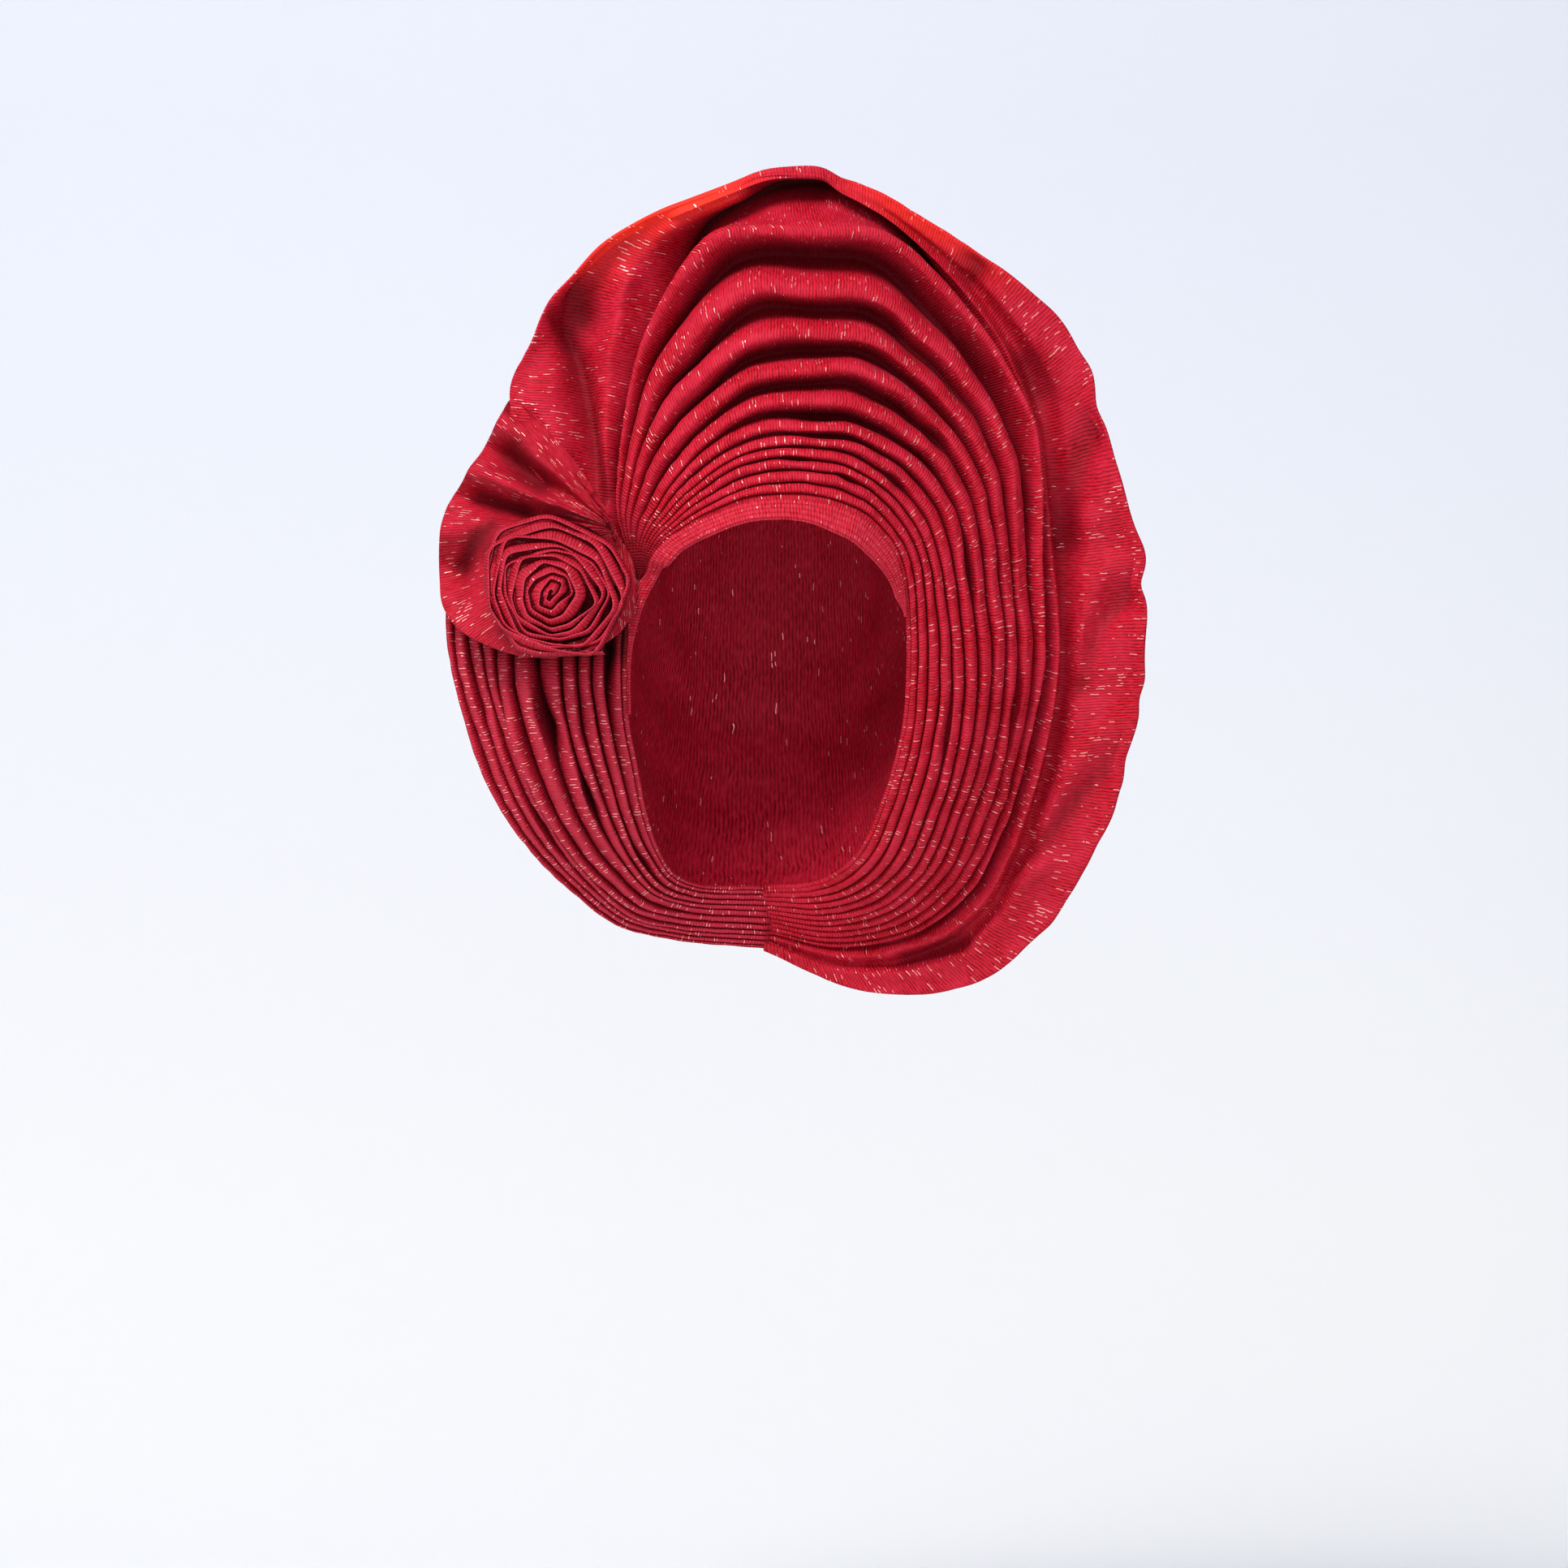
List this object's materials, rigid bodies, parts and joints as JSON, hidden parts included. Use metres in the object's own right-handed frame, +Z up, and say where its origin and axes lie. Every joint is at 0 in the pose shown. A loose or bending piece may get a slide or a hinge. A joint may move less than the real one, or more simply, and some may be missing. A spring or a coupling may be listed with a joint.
{
  "type": "gele head tie",
  "caption": "Ready-tied gele head tie: a fan of deep pleats with a flared rim round the face, side pleats, a front band, a cap and a rolled rosette.",
  "frame": {"origin": "crown of the head, where the inside of the cap bears on it", "axes": "+Z up, the wearer faces -Y, +X to the right of someone who looks at the wearer's face"},
  "size_m": [0.3497, 0.1847, 0.4084],
  "materials": {
    "band_cloth": "matte, fine tucks",
    "cap_cloth": "matte",
    "fan_cloth": "soft sheen with glitter threads",
    "panel_cloth": "soft sheen with glitter threads",
    "drape_cloth": "soft sheen with glitter threads",
    "rosette_cloth": "soft sheen with glitter threads"
  },
  "bodies": {
    "root": {"front_band": "band_cloth", "head_cap": "cap_cloth", "pleated_fan": "fan_cloth", "side_pleats": "panel_cloth", "rosette_drape": "drape_cloth", "rosette": "rosette_cloth"}
  },
  "joints": []
}
